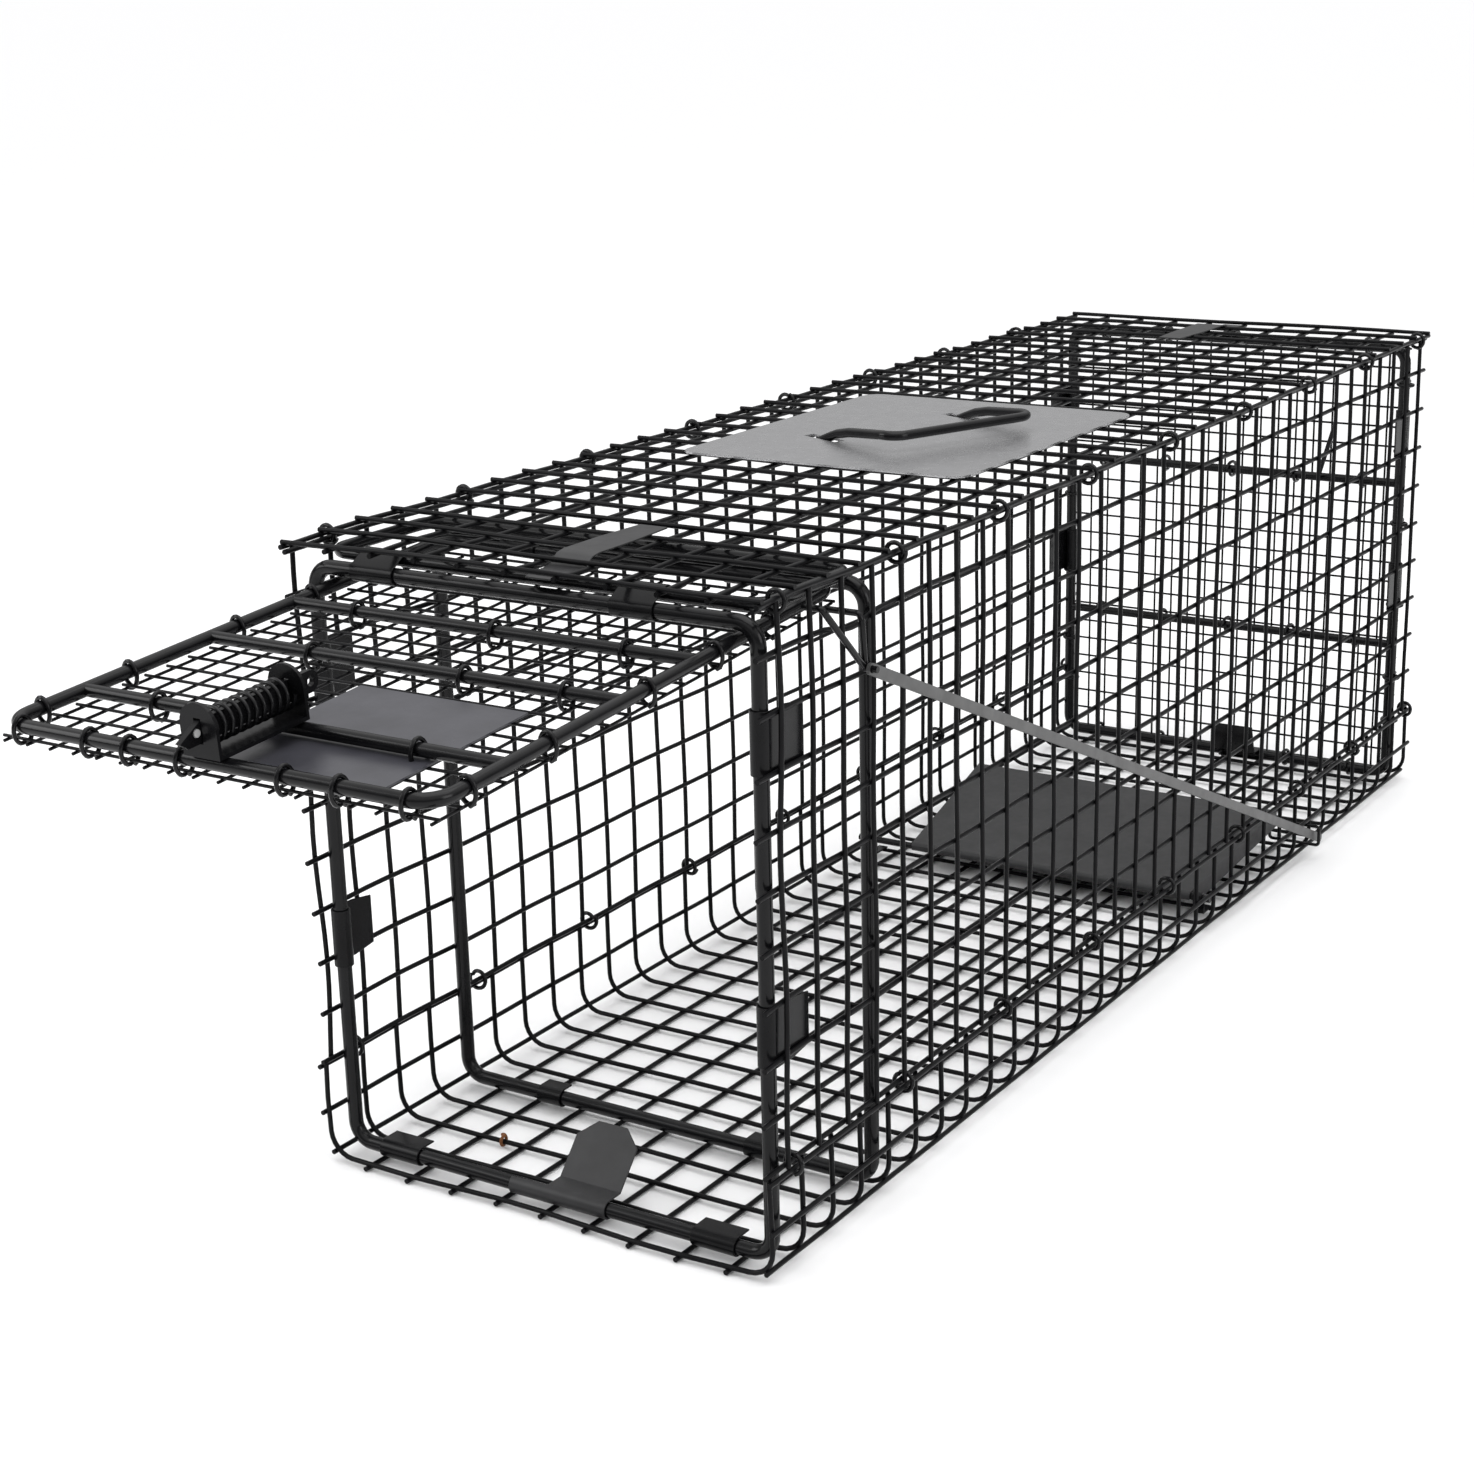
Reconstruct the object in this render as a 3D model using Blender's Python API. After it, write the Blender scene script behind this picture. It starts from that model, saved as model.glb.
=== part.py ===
"""Live catch trap: a collapsible welded-wire cage with a drop door, a treadle pan and a sprung door bolt.

Axes: +X is the trap's right side seen from the door end, -Y is the door end, +Z is up.
The origin is the underside of the middle floor wire, half way along the trap.
Wire panels hold every second wire of the one-inch mesh.
"""

import math

import bmesh
import bpy
from mathutils import Matrix, Vector

MM = 0.001

# Cage
CELL = 25.4 * MM
CELLS_WIDE, CELLS_LONG, CELLS_HIGH = 10, 32, 12
STEP = 2  # cells between the wires that are modelled
WIRE = 2.0 * MM
WIDTH, LENGTH, HEIGHT = CELLS_WIDE * CELL, CELLS_LONG * CELL, CELLS_HIGH * CELL
HALF_WIDTH, HALF_LENGTH = WIDTH / 2, LENGTH / 2
SEAM_Z = 2 * CELL  # where the floor tray's sides meet the wall panels
FLOOR_BEND = 12 * MM
GAP = 0.4 * MM  # between pieces that touch

# Rod frames
ROD = 3.5 * MM
DOOR_ROD = 3.0 * MM
CROSSBAR = 2.8 * MM
ROD_BEND = 10 * MM
POST_X = HALF_WIDTH - 8.9 * MM
FRONT_Y = 0.4 * CELL - HALF_LENGTH
INNER_Y = 3.8 * CELL - HALF_LENGTH
REAR_Y = 31.3 * CELL - HALF_LENGTH
BOTTOM_BAR_Z = 2 * WIRE + ROD + GAP
FRONT_TOP_Z = 291 * MM
HINGE_Z = 289 * MM
REAR_TOP_Z = 295.7 * MM
TIE_Z = 296.2 * MM  # the flat frame that ties the two upright front frames together
TIE_X = 115 * MM
TIE_FRONT_Y, TIE_REAR_Y = FRONT_Y + 8.2 * MM, INNER_Y - 7.1 * MM
REAR_CROSSBARS_Z = (3.85 * CELL, 8.15 * CELL)

# Sheet metal
SHEET = 0.8 * MM
SLEEVE_GAP = 0.3 * MM
CLIP_HEIGHT = 28 * MM
CLIP_FLAP = 26 * MM

# Door, measured along the door from its hinge axis
DOOR_DROOP = math.radians(4)
DOOR_X = 107 * MM
DOOR_LENGTH = 281 * MM
DOOR_BARS = (114 * MM, 166 * MM, 239 * MM)
DOOR_MESH_TOP = -4.6 * MM

# Bolt on the door
BOLT_X = 3 * MM
BOLT_Z = 14 * MM
BOLT_HALF_HEIGHT = 4.5 * MM
BOLT_THICK = 2.5 * MM
BOLT_TIP, BOLT_TAIL = 297 * MM, 221 * MM
BRACKET_FRONT, BRACKET_REAR = 286 * MM, 237 * MM
BRACKET_TOP = 25 * MM
BRACKET_HALF_WIDTH = 9 * MM
BRACKET_SHEET = 1.5 * MM

# Treadle and trigger
PAN_FRONT_Y = 19.4 * CELL - HALF_LENGTH
PAN_PIVOT_Z = 15 * MM
PAN_PIVOT_ROD = 2.0 * MM
PAN_LENGTH = 134 * MM
PAN_RIGHT_X, PAN_LEFT_X = 106 * MM, -104 * MM
PAN_TILT = math.radians(4.5)
PAN_SLANT = math.radians(10)  # of the pan's left edge
PAN_FLANGE = 10.5 * MM
LINK_X, LINK_Z, LINK_HALF_HEIGHT = 119 * MM, 17.2 * MM, 6 * MM
LINK_WIRE = 1.0 * MM
TRIGGER_X = 132 * MM
TRIGGER_TOP = (3.0 * CELL - HALF_LENGTH, 258 * MM)
TRIGGER_END = (24.9 * CELL - HALF_LENGTH, 13.2 * MM)
TRIGGER_WIDTH, TRIGGER_THICK = 5.4 * MM, 1.5 * MM
HOOK_WIRE = 1.5 * MM
HOOK_X = HALF_WIDTH + 2.0 * MM
HOOK_END_X = 112 * MM  # the finger stops just outside the door's side rod
HOOK_PIVOT = (1.7 * CELL - HALF_LENGTH, 291 * MM)

# Carrying plate and bail
PLATE_THICK = 1.0 * MM
PLATE_X = (-79 * MM, 86 * MM)
PLATE_Y = (-161 * MM, 38 * MM)
PLATE_Z = HEIGHT + 0.3 * MM
BAIL_WIRE = 2.5 * MM
BAIL_CENTRE = Vector((-12 * MM, -53.5 * MM, PLATE_Z + PLATE_THICK / 2))
BAIL_HALF = 47 * MM
BAIL_TURN = math.radians(22)  # how far the bail lies askew of the plate
BAIL_LEG = 58 * MM
BAIL_RISE = 8.5 * MM  # how high the grip lies over its hinge line
BAIL_TOE = (8 * MM, 6.5 * MM)  # how far each foot reaches back, and its turned-in end
SLOT_LONG, SLOT_WIDE = 27 * MM, 6.5 * MM

# Rings
RING_RADIUS, RING_WIRE = 4.4 * MM, 1.0 * MM

BLACK = (0.012, 0.012, 0.013)
STEEL_GREY = (0.16, 0.16, 0.16)

for old in list(bpy.data.objects):
    bpy.data.objects.remove(old)

PARTS = bpy.data.collections.new("live_catch_trap")
CUTTERS = bpy.data.collections.new("cutters")
CUTTERS.hide_render = True
for group in (PARTS, CUTTERS):
    bpy.context.scene.collection.children.link(group)


def finish_of(name, colour=BLACK, roughness=0.4, metallic=0.0):
    material = bpy.data.materials.new(name)
    material.use_nodes = True
    shader = material.node_tree.nodes["Principled BSDF"]
    shader.inputs["Base Color"].default_value = (*colour, 1)
    shader.inputs["Roughness"].default_value = roughness
    shader.inputs["Metallic"].default_value = metallic
    return material


def add_object(name, mesh, where=None, **finish):
    part = bpy.data.objects.new(name, mesh)
    PARTS.objects.link(part)
    mesh.materials.clear()
    mesh.materials.append(finish_of(name + "_finish", **finish))
    if where is not None:
        part.matrix_world = where
    return part


def boxes_mesh(boxes):
    """Boxes, each as its (low, high) corners."""
    shape = bmesh.new()
    for low, high in boxes:
        cube = bmesh.ops.create_cube(shape, size=2)
        for corner in cube["verts"]:
            corner.co = [high[i] if corner.co[i] > 0 else low[i] for i in range(3)]
    mesh = bpy.data.meshes.new("boxes")
    shape.to_mesh(mesh)
    shape.free()
    return mesh


def mesh_of_curve(curve):
    """The closed mesh of a curve, with its caps welded."""
    holder = bpy.data.objects.new("curve", curve)
    CUTTERS.objects.link(holder)
    graph = bpy.context.evaluated_depsgraph_get()
    mesh = bpy.data.meshes.new_from_object(holder.evaluated_get(graph))
    bpy.data.objects.remove(holder)
    bpy.data.curves.remove(curve)
    shape = bmesh.new()
    shape.from_mesh(mesh)
    bmesh.ops.remove_doubles(shape, verts=shape.verts, dist=1e-6)
    bmesh.ops.recalc_face_normals(shape, faces=shape.faces)
    shape.to_mesh(mesh)
    shape.free()
    return mesh


def rod_mesh(points, radius, closed=False, resolution=2):
    curve = bpy.data.curves.new("rod", "CURVE")
    curve.dimensions = "3D"
    curve.bevel_depth = radius
    curve.bevel_resolution = resolution
    curve.use_fill_caps = True
    line = curve.splines.new("POLY")
    line.points.add(len(points) - 1)
    for slot, point in zip(line.points, points):
        slot.co = (*point, 1)
    line.use_cyclic_u = closed
    mesh = mesh_of_curve(curve)
    mesh.shade_smooth()
    return mesh


def plate_mesh(outline, thickness):
    """A flat outline in local XY, thickness along local Z and centred on it."""
    curve = bpy.data.curves.new("plate", "CURVE")
    curve.dimensions = "2D"
    curve.fill_mode = "BOTH"
    curve.extrude = thickness / 2
    line = curve.splines.new("POLY")
    line.points.add(len(outline) - 1)
    for slot, (x, y) in zip(line.points, outline):
        slot.co = (x, y, 0, 1)
    line.use_cyclic_u = True
    return mesh_of_curve(curve)


def arc(centre, radius, start, end, steps=6):
    """Points along an arc, with angles in degrees."""
    angles = [math.radians(start + (end - start) * i / steps) for i in range(steps + 1)]
    return [(centre[0] + radius * math.cos(a), centre[1] + radius * math.sin(a)) for a in angles]


def strip_outline(path, thickness):
    """The outline of a bent strip whose middle line is the path."""
    left, right = [], []
    for i, point in enumerate(path):
        here = Vector(point)
        ahead = (Vector(path[min(i + 1, len(path) - 1)]) - here).normalized()
        behind = (here - Vector(path[max(i - 1, 0)])).normalized()
        along = (ahead + behind).normalized()
        side = Vector((-along.y, along.x))
        turn = ahead if ahead.length else behind
        reach = thickness / 2 / max(0.3, abs(side.dot(Vector((-turn.y, turn.x)))))
        left.append(tuple(here + side * reach))
        right.append(tuple(here - side * reach))
    return left + right[::-1]


def along_x(x=0.0):
    """Local XY becomes world YZ, and local Z becomes world X."""
    return Matrix(((0, 0, 1, x), (1, 0, 0, 0), (0, 1, 0, 0), (0, 0, 0, 1)))


def along_y(y=0.0):
    """Local XY becomes world XZ, and local Z becomes world -Y."""
    return Matrix(((1, 0, 0, 0), (0, 0, -1, y), (0, 1, 0, 0), (0, 0, 0, 1)))


def combine(part, meshes, operation="UNION"):
    """Joins meshes to a part, or cuts them from it, in the part's own axes."""
    for number, mesh in enumerate(meshes):
        tool = bpy.data.objects.new(f"{part.name}_tool_{number}", mesh)
        tool.display_type = "WIRE"
        tool.hide_render = True
        CUTTERS.objects.link(tool)
        tool.matrix_world = part.matrix_world
        boolean = part.modifiers.new(f"{operation.lower()}_{number}", "BOOLEAN")
        boolean.operation = operation
        boolean.object = tool
    return part


def combine_cut(part, mesh):
    combine(part, [mesh], "DIFFERENCE")


def moved(mesh, matrix):
    mesh.transform(matrix)
    return mesh


def cylinder(centre, radius, depth, axis="Z"):
    """A closed cylinder along local Z, or along X."""
    where = Matrix.Translation(centre)
    if axis == "X":
        where = where @ Matrix.Rotation(math.pi / 2, 4, "Y")
    shape = bmesh.new()
    bmesh.ops.create_cone(shape, cap_ends=True, segments=12, radius1=radius, radius2=radius,
                          depth=depth, matrix=where)
    mesh = bpy.data.meshes.new("cylinder")
    shape.to_mesh(mesh)
    shape.free()
    return mesh


def rounded_loop(x, low, high, bend=ROD_BEND, steps=3):
    """A rounded rectangle, symmetric about the first axis, as 2-D points."""
    corners = ((x, low, -90), (x, high, 0), (-x, high, 90), (-x, low, 180))
    points = []
    for cx, cy, start in corners:
        centre = (cx - math.copysign(bend, cx), cy + (bend if cy == low else -bend))
        points += arc(centre, bend, start, start + 90, steps)
    return points


# ---------------------------------------------------------------- wire panels


def cell_lines(count, start=0.0):
    return [(start + i) * CELL for i in range(0, count + 1, STEP)]


def build_floor_tray():
    half = WIRE / 2
    inner, outer = HALF_WIDTH - 2 * WIRE, HALF_WIDTH - WIRE
    top = SEAM_Z - 0.3 * MM
    middle = inner + half
    base = WIRE + half
    left_arc = arc((-middle + FLOOR_BEND, base + FLOOR_BEND), FLOOR_BEND, 180, 270, 3)
    right_arc = arc((middle - FLOOR_BEND, base + FLOOR_BEND), FLOOR_BEND, 270, 360, 3)
    profile = strip_outline([(-middle, top), *left_arc, *right_arc, (middle, top)], WIRE)
    hoops = []
    for y in cell_lines(CELLS_LONG):
        place = min(max(y - HALF_LENGTH, half - HALF_LENGTH), HALF_LENGTH - half)
        hoops.append(moved(plate_mesh(profile, WIRE), along_y(place)))
    rails = []
    for cell in range(1, CELLS_WIDE, STEP):
        x = cell * CELL - HALF_WIDTH
        rails.append(((x - half, -HALF_LENGTH, 0), (x + half, HALF_LENGTH, WIRE)))
    for side in (-1, 1):
        low_x, high_x = sorted((side * outer, side * HALF_WIDTH))
        for z in (CELL, top - half):
            rails.append(((low_x, -HALF_LENGTH, z - half), (high_x, HALF_LENGTH, z + half)))
    tray = add_object("floor_tray_mesh", boxes_mesh(rails), roughness=0.45)
    shape = bmesh.new()
    for hoop in hoops:
        shape.from_mesh(hoop)
    joined = bpy.data.meshes.new("hoops")
    shape.to_mesh(joined)
    shape.free()
    combine(tray, [joined])


def build_wall(name, side):
    half = WIRE / 2
    low, high = SEAM_Z + 0.3 * MM, HEIGHT - 2 * WIRE - GAP
    inside = sorted((side * (HALF_WIDTH - 2 * WIRE), side * (HALF_WIDTH - WIRE)))
    outside = sorted((side * (HALF_WIDTH - WIRE), side * HALF_WIDTH))
    rows = [low + half] + [row * CELL for row in range(4, CELLS_HIGH, STEP)] + [high - half]
    rails = [((inside[0], -HALF_LENGTH, z - half), (inside[1], HALF_LENGTH, z + half)) for z in rows]
    uprights = []
    for y in cell_lines(CELLS_LONG - STEP, 0.5):
        place = y - HALF_LENGTH
        uprights.append(((outside[0], place - half, low), (outside[1], place + half, high)))
    combine(add_object(name, boxes_mesh(rails), roughness=0.45), [boxes_mesh(uprights)])


def build_top():
    half = WIRE / 2
    bottom, middle = HEIGHT - 2 * WIRE, HEIGHT - WIRE
    rails = []
    for x in cell_lines(CELLS_WIDE):
        place = min(max(x - HALF_WIDTH, half - HALF_WIDTH), HALF_WIDTH - half)
        rails.append(((place - half, -HALF_LENGTH, bottom), (place + half, HALF_LENGTH, middle)))
    rungs = []
    for y in cell_lines(CELLS_LONG):
        place = min(max(y - HALF_LENGTH, half - HALF_LENGTH), HALF_LENGTH - half)
        rungs.append(((-HALF_WIDTH, place - half, middle), (HALF_WIDTH, place + half, HEIGHT)))
    combine(add_object("top_mesh", boxes_mesh(rails), roughness=0.45), [boxes_mesh(rungs)])


def build_rear_mesh():
    half = WIRE / 2
    front = REAR_Y + ROD + SLEEVE_GAP + SHEET + GAP
    middle, back = front + WIRE, front + 2 * WIRE
    side_x = POST_X
    low, high = BOTTOM_BAR_Z, REAR_TOP_Z
    uprights = [((x - half, front, low), (x + half, middle, high)) for x in spread(-side_x, side_x, 6)]
    rungs = [((-side_x - half, middle, z - half), (side_x + half, back, z + half))
             for z in spread(low + half, high - half, 7)]
    combine(add_object("rear_mesh", boxes_mesh(uprights), roughness=0.45), [boxes_mesh(rungs)])


def spread(start, end, count):
    return [start + (end - start) * i / (count - 1) for i in range(count)]


# ---------------------------------------------------------------- rod frames


def upright_loop(y, bottom, top):
    return [(x, y, z) for x, z in rounded_loop(POST_X, bottom, top)]


def build_frames():
    add_object("front_frame", rod_mesh(upright_loop(FRONT_Y, BOTTOM_BAR_Z, FRONT_TOP_Z), ROD, True),
               roughness=0.25)
    add_object("inner_frame", rod_mesh(upright_loop(INNER_Y, BOTTOM_BAR_Z, HINGE_Z), ROD, True),
               roughness=0.25)
    flat = [(x, y, TIE_Z) for x, y in rounded_loop(TIE_X, TIE_FRONT_Y, TIE_REAR_Y)]
    add_object("top_front_frame", rod_mesh(flat, DOOR_ROD, True), roughness=0.25)
    rear = add_object("rear_frame", rod_mesh(upright_loop(REAR_Y, BOTTOM_BAR_Z, REAR_TOP_Z), ROD, True),
                      roughness=0.25)
    reach = POST_X - 0.6 * MM
    bars = [rod_mesh([(-reach, REAR_Y, z), (reach, REAR_Y, z)], CROSSBAR) for z in REAR_CROSSBARS_Z]
    combine(rear, bars)


# ---------------------------------------------------------------- sheet pieces on the frames


def wrap(centre, rod, start, end, steps=9):
    """The middle line of a sheet rolled round a rod."""
    return arc(centre, rod + SLEEVE_GAP + SHEET / 2, start, end, steps)


def build_sleeves():
    top_path = wrap((FRONT_Y, FRONT_TOP_Z), ROD, -50, -235)
    top_path += wrap((TIE_FRONT_Y, TIE_Z), DOOR_ROD, 120, -35)
    bottom_path = wrap((FRONT_Y, BOTTOM_BAR_Z), ROD, -40, -270, 10)
    bottom_path.append((FRONT_Y + 9 * MM, bottom_path[-1][1]))
    inner_path = wrap((INNER_Y, BOTTOM_BAR_Z), ROD, -40, -270, 10)
    inner_path.append((INNER_Y + 7 * MM, inner_path[-1][1]))
    pieces = (
        ("top_sleeve_left", top_path, -82 * MM, 24 * MM),
        ("top_sleeve_right", top_path, 58 * MM, 22 * MM),
        ("bottom_sleeve_left", bottom_path, -89 * MM, 23 * MM),
        ("bottom_sleeve_right", bottom_path, 89 * MM, 23 * MM),
        ("inner_sleeve_left", inner_path, -65 * MM, 14 * MM),
        ("inner_sleeve_right", inner_path, 57 * MM, 14 * MM),
    )
    for name, path, x, width in pieces:
        add_object(name, plate_mesh(strip_outline(path, SHEET), width), along_x(x), roughness=0.35)


def build_strike_plate():
    path = wrap((FRONT_Y, BOTTOM_BAR_Z), ROD, -40, -270, 10)
    shelf_end = (FRONT_Y + 9 * MM, path[-1][1])
    path += [shelf_end, (shelf_end[0] + 20 * MM, shelf_end[1] + 22 * MM)]
    plate = plate_mesh(strip_outline(path, SHEET), 34 * MM)
    add_object("strike_plate", plate, along_x(14 * MM), colour=(0.03, 0.03, 0.032), roughness=0.5)


def build_clips():
    """Sheets rolled round the end frames' posts, each with a flap along the wall."""
    for y, end, way, lower in ((FRONT_Y, "front", 1, 4.4 * CELL), (REAR_Y, "rear", -1, 5.5 * CELL)):
        for side, hand in ((-1, "left"), (1, "right")):
            path = wrap((POST_X, 0), ROD, 75 * way, 360 * way, 10)
            path.append((path[-1][0], way * CLIP_FLAP))
            if side < 0:
                path = [(-x, place) for x, place in path]
            for z, level in ((lower, "lower"), (9.5 * CELL, "upper")):
                mesh = plate_mesh(strip_outline(path, SHEET), CLIP_HEIGHT)
                name = f"{end}_clip_{hand}_{level}"
                add_object(name, mesh, Matrix.Translation((0, y, z)), roughness=0.4)


def build_top_latches():
    under, over = HEIGHT - 2 * WIRE - 0.8 * MM, HEIGHT + 0.7 * MM
    front = [(-403 * MM, under), (-384 * MM, under), (-372 * MM, over), (-316 * MM, over)]
    rear = [(418 * MM, under), (391 * MM, under), (379 * MM, over), (310 * MM, over)]
    for name, path, x in (("front_top_latch", front, 12.7 * MM), ("rear_top_latch", rear, -12.7 * MM)):
        mesh = plate_mesh(strip_outline(path, SHEET), 19 * MM)
        add_object(name, mesh, along_x(x), colour=(0.03, 0.03, 0.032), roughness=0.3)
    path = wrap((REAR_Y, BOTTOM_BAR_Z), ROD, -40, -270, 10)
    path = [(2 * REAR_Y - y, z) for y, z in path]
    path += [(REAR_Y - 12 * MM, path[-1][1]), (REAR_Y - 18 * MM, 32 * MM)]
    add_object("rear_bottom_latch", plate_mesh(strip_outline(path, SHEET), 30 * MM), along_x(14 * MM))


# ---------------------------------------------------------------- door

DOOR_HINGE = bpy.data.objects.new("door_hinge", None)
PARTS.objects.link(DOOR_HINGE)
DOOR_HINGE.matrix_world = Matrix.Translation((0, INNER_Y, HINGE_Z)) @ Matrix.Rotation(DOOR_DROOP, 4, "X")


def add_to_door(name, mesh, local=None, **finish):
    """A piece in the door's axes: the hinge is the origin and the free edge is towards -Y."""
    if local is not None:
        mesh.transform(local)
    part = add_object(name, mesh, **finish)
    part.parent = DOOR_HINGE
    part.matrix_world = DOOR_HINGE.matrix_world
    return part


def build_door():
    near = ROD + DOOR_ROD + 1.2 * MM
    loop = [(x, y, 0) for x, y in rounded_loop(DOOR_X, -DOOR_LENGTH, -near, 12 * MM)]
    frame = add_to_door("door_frame", rod_mesh(loop, DOOR_ROD, True), roughness=0.25)
    reach = DOOR_X - 0.6 * MM
    combine(frame, [rod_mesh([(-reach, -d, 0), (reach, -d, 0)], CROSSBAR) for d in DOOR_BARS])
    half, middle, bottom = WIRE / 2, DOOR_MESH_TOP - WIRE, DOOR_MESH_TOP - 2 * WIRE
    far = DOOR_LENGTH - 4 * MM
    rungs = [((-DOOR_X, -d - half, middle), (DOOR_X, -d + half, DOOR_MESH_TOP))
             for d in spread(near + half, far - half, 7)]
    rails = [((x - half, -far, bottom), (x + half, -near, middle))
             for x in spread(half - DOOR_X, DOOR_X - half, 5)]
    combine(add_to_door("door_mesh", boxes_mesh(rungs), roughness=0.45), [boxes_mesh(rails)])
    plate = boxes_mesh([((-10 * MM, -274 * MM, -4.2 * MM), (74 * MM, -183 * MM, -3.4 * MM))])
    add_to_door("door_plate", plate, colour=(0.05, 0.05, 0.055), roughness=0.3)
    for hand, x in (("left", -62 * MM), ("right", 62 * MM)):
        path = wrap((0, 0), ROD, -60, 150, 9) + wrap((-near, 0), DOOR_ROD, 90, 290, 9)
        sleeve = plate_mesh(strip_outline(path, SHEET), 20 * MM)
        add_to_door(f"door_hinge_sleeve_{hand}", sleeve, along_x(x), roughness=0.35)


def build_bolt():
    base = DOOR_ROD + GAP + BRACKET_SHEET / 2
    ear_y = (-BRACKET_FRONT + BRACKET_SHEET / 2, -BRACKET_REAR - BRACKET_SHEET / 2)
    bracket = boxes_mesh([((BOLT_X - BRACKET_HALF_WIDTH, ear_y[0], base - BRACKET_SHEET / 2),
                           (BOLT_X + BRACKET_HALF_WIDTH, ear_y[1], base + BRACKET_SHEET / 2))])
    bracket = add_to_door("bolt_bracket", bracket, colour=(0.02, 0.02, 0.021), roughness=0.35)
    low = base - BRACKET_SHEET / 2
    wide = BRACKET_HALF_WIDTH
    outline = [(-wide, low), (wide, low), *arc((0, BRACKET_TOP - wide), wide, 0, 180, 12)]
    ears = []
    for y in ear_y:
        ears.append(moved(plate_mesh([(x + BOLT_X, z) for x, z in outline], BRACKET_SHEET), along_y(y)))
    combine(bracket, ears)
    reach_x, reach_z = BOLT_THICK / 2 + 0.5 * MM, BOLT_HALF_HEIGHT + 0.5 * MM
    slot = boxes_mesh([((BOLT_X - reach_x, -BRACKET_FRONT - 9 * MM, BOLT_Z - reach_z),
                        (BOLT_X + reach_x, -BRACKET_REAR + 9 * MM, BOLT_Z + reach_z))])
    combine_cut(bracket, slot)

    high, low = BOLT_Z + BOLT_HALF_HEIGHT, BOLT_Z - BOLT_HALF_HEIGHT
    tail = arc((-BOLT_TAIL - 5 * MM, BOLT_Z), BOLT_HALF_HEIGHT, 90, -90, 6)
    outline = [(-BOLT_TIP, BOLT_Z - 1.5 * MM), (-BOLT_TIP + 4 * MM, low), *tail[::-1],
               (-BOLT_TIP + 12 * MM, high)]
    bolt = add_to_door("latch_bolt", plate_mesh(outline, BOLT_THICK), along_x(BOLT_X), roughness=0.35)
    rivet_at = (BOLT_X, -BOLT_TIP + 9 * MM, BOLT_Z)
    combine_cut(bolt, cylinder((BOLT_X, -BOLT_TAIL - 5 * MM, BOLT_Z), 2 * MM, 8 * MM, "X"))
    combine_cut(bolt, cylinder(rivet_at, 2 * MM, 8 * MM, "X"))
    add_to_door("bolt_rivet", cylinder(rivet_at, 1.6 * MM, 3 * MM, "X"), colour=(0.6, 0.6, 0.6), metallic=1.0)

    turns, per_turn, wire = 8, 8, 0.8 * MM
    start, end = -BRACKET_FRONT + 3.2 * MM, -BRACKET_REAR - 3.2 * MM
    coil = []
    for i in range(turns * per_turn + 1):
        angle = 2 * math.pi * i / per_turn
        coil.append((BOLT_X + 6.3 * MM * math.cos(angle), start + (end - start) * i / (turns * per_turn),
                     BOLT_Z + 6.3 * MM * math.sin(angle)))
    add_to_door("bolt_spring", rod_mesh(coil, wire, resolution=1), roughness=0.3)


# ---------------------------------------------------------------- treadle and trigger


def build_treadle():
    pivot = (PAN_FRONT_Y, PAN_PIVOT_Z)
    rod = rod_mesh([(-118 * MM, *pivot), (118 * MM, *pivot)], PAN_PIVOT_ROD)
    add_object("pan_pivot_rod", rod, roughness=0.3)
    radius = PAN_PIVOT_ROD + SLEEVE_GAP + SHEET / 2
    for hand, x in (("left", -110.2 * MM), ("right", 110.2 * MM)):
        foot = 2 * WIRE + GAP + SHEET / 2
        path = [(PAN_FRONT_Y + 16 * MM, foot), (PAN_FRONT_Y + radius, foot), *arc(pivot, radius, 0, 200, 7)]
        mesh = plate_mesh(strip_outline(path, SHEET), 6 * MM)
        add_object(f"pan_pivot_clip_{hand}", mesh, along_x(x), roughness=0.4)

    tilt = Matrix.Translation((0, *pivot)) @ Matrix.Rotation(PAN_TILT, 4, "X")
    path = arc((0, 0), radius, -150, -270, 6) + [(PAN_LENGTH, radius)]
    mesh = moved(plate_mesh(strip_outline(path, SHEET), PAN_RIGHT_X - PAN_LEFT_X), along_x())
    mesh.transform(Matrix.Translation(((PAN_RIGHT_X + PAN_LEFT_X) / 2, 0, 0)))
    pan = add_object("treadle_pan", mesh, tilt, colour=(0.045, 0.045, 0.045), roughness=0.55)
    inner = PAN_RIGHT_X - SHEET
    top = radius + SHEET / 2
    flange = boxes_mesh([((inner, 4 * MM, top - PAN_FLANGE), (PAN_RIGHT_X, PAN_LENGTH, top))])
    combine(pan, [flange])
    slant = Matrix.Translation((PAN_LEFT_X + 26 * MM, -10 * MM, 0)) @ Matrix.Rotation(PAN_SLANT, 4, "Z")
    combine_cut(pan, moved(boxes_mesh([((-60 * MM, -80 * MM, -30 * MM), (0, 170 * MM, 30 * MM))]), slant))
    ring_y = TRIGGER_END[0] - 9 * MM
    low, high = LINK_Z - LINK_HALF_HEIGHT, LINK_Z + LINK_HALF_HEIGHT
    hole = tilt.inverted() @ Vector((inner, ring_y, high))
    combine_cut(pan, cylinder(hole, LINK_WIRE + 0.7 * MM, 6 * MM, "X"))

    loop = rounded_loop(16 * MM, low, high, 2 * MM)
    points = [(x + LINK_X, ring_y, z) for x, z in loop]
    add_object("pan_link_ring", rod_mesh(points, LINK_WIRE, True), roughness=0.3)


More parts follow.
